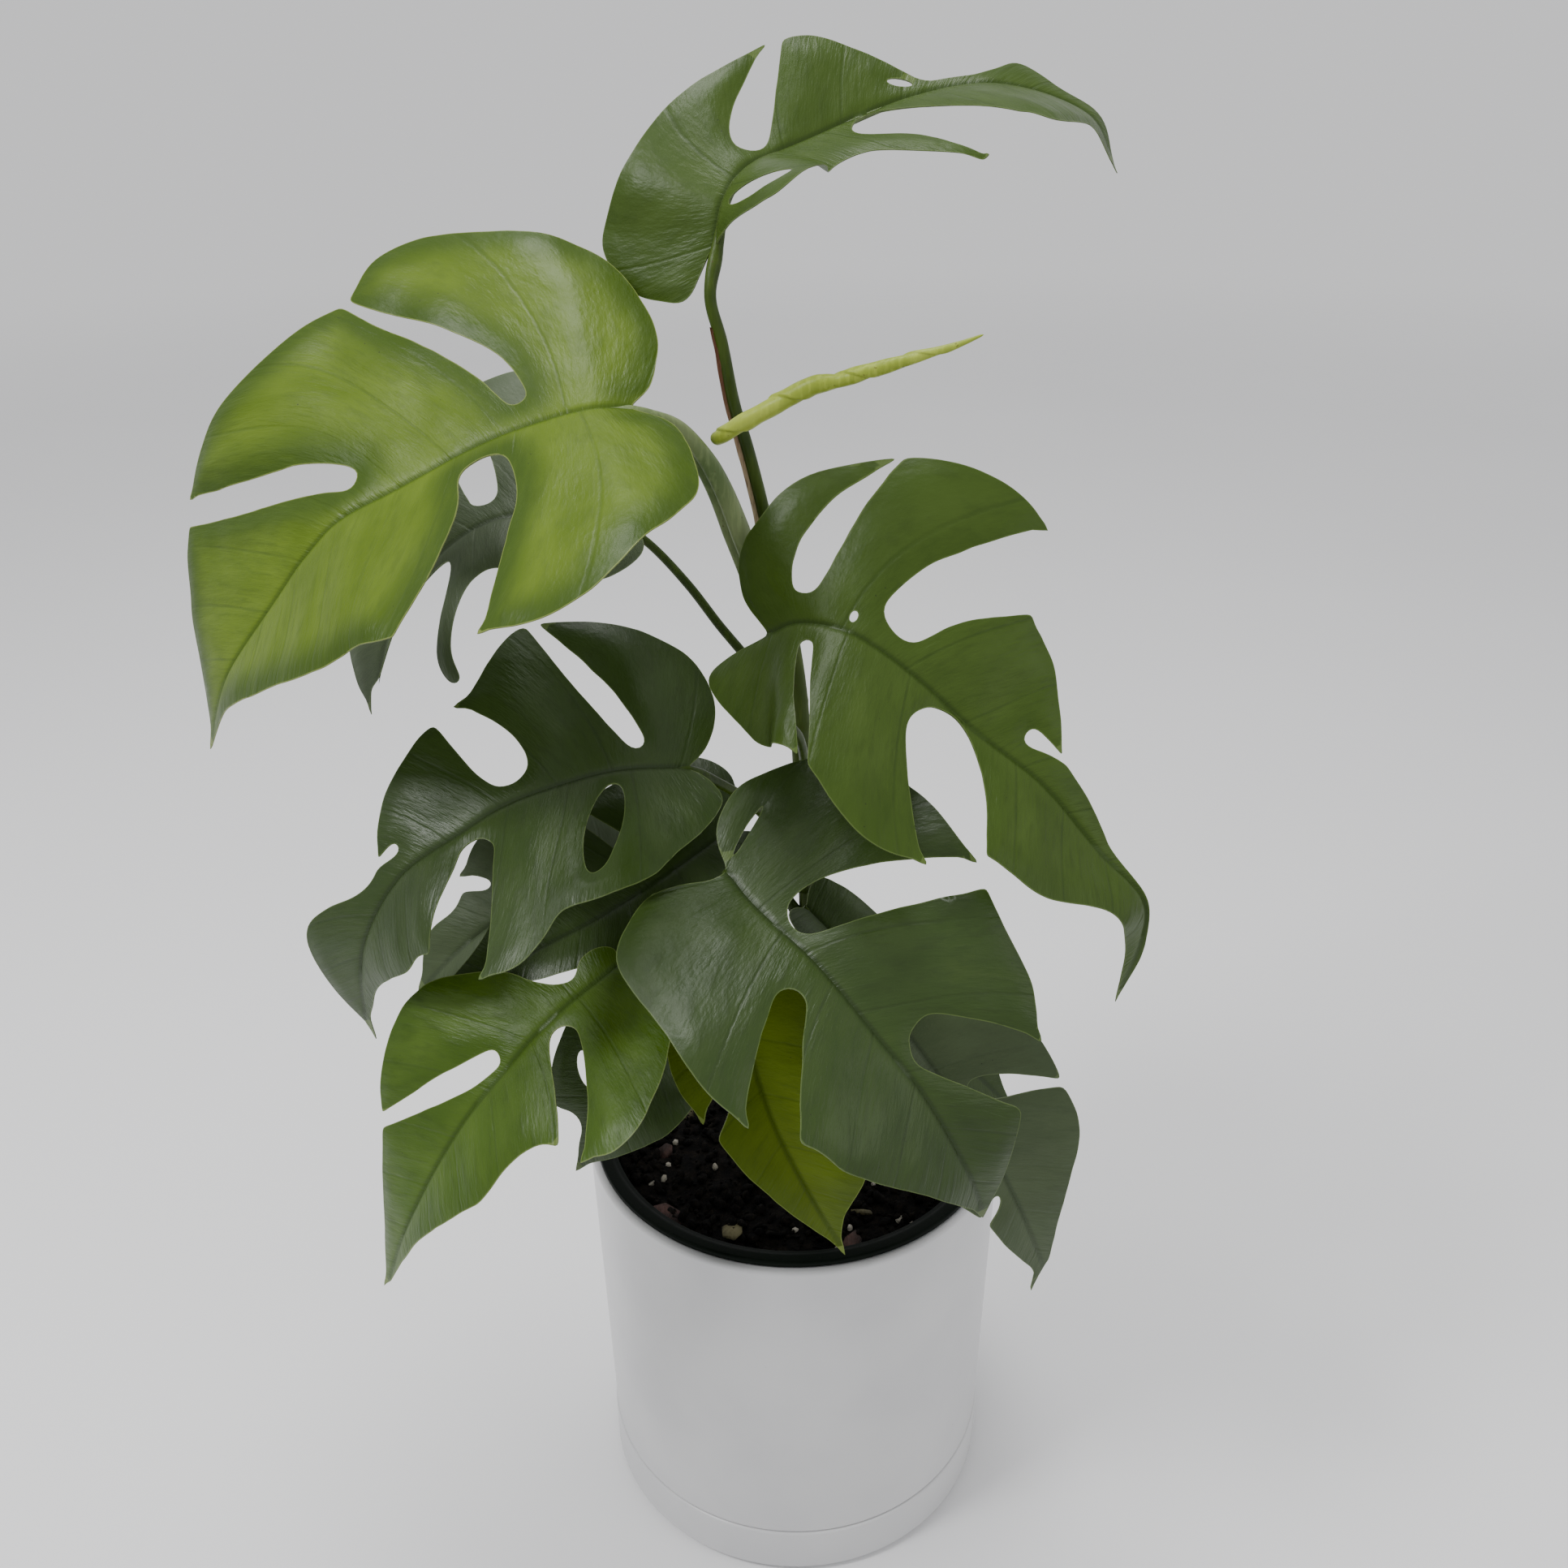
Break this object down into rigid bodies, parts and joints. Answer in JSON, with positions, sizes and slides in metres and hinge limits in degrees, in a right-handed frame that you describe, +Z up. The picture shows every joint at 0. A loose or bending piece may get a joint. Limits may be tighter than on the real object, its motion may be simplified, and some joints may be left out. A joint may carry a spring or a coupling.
{
  "type": "potted mini monstera plant",
  "caption": "Climbing houseplant with split, holed leaves on long stalks, in a dark plastic nursery pot hung inside a white glazed cylindrical planter on a matching saucer.",
  "frame": {"origin": "centre of the flat underside of the saucer, on the surface that the pot stands on", "axes": "+Z up along the pot's axis; +X to the right and -Y towards the viewer, seen from the front"},
  "size_m": [0.2874, 0.2212, 0.5278],
  "materials": {
    "white_glaze": "satin",
    "dark_plastic": "satin",
    "potting_mix": "matte",
    "stem_green": "satin",
    "new_growth": "satin",
    "leaf_dark": "satin",
    "leaf_lime": "satin",
    "leaf_fresh": "satin",
    "leaf_olive_green": "satin",
    "leaf_greyed": "satin"
  },
  "bodies": {
    "root": {"saucer": "white_glaze", "planter": "white_glaze", "nursery_pot": "dark_plastic", "soil": "potting_mix", "stem": "stem_green", "sheath": "new_growth", "new_leaf": "new_growth", "leaf_top": "leaf_dark", "leaf_wide": "leaf_lime", "leaf_behind": "leaf_greyed", "leaf_right": "leaf_dark", "leaf_left": "leaf_dark", "leaf_front": "leaf_dark", "leaf_low": "leaf_fresh", "leaf_olive": "leaf_olive_green", "leaf_side": "leaf_greyed", "leaf_back_left": "leaf_greyed", "leaf_middle": "leaf_dark", "leaf_shade": "leaf_dark", "leaf_inner": "leaf_dark", "stalk_top": "stem_green", "stalk_behind": "stem_green", "stalk_right": "stem_green", "stalk_left": "stem_green", "stalk_front": "stem_green", "stalk_low": "stem_green", "stalk_olive": "stem_green", "stalk_side": "stem_green", "stalk_back_left": "stem_green", "stalk_middle": "stem_green", "stalk_shade": "stem_green", "stalk_inner": "stem_green"}
  },
  "joints": []
}
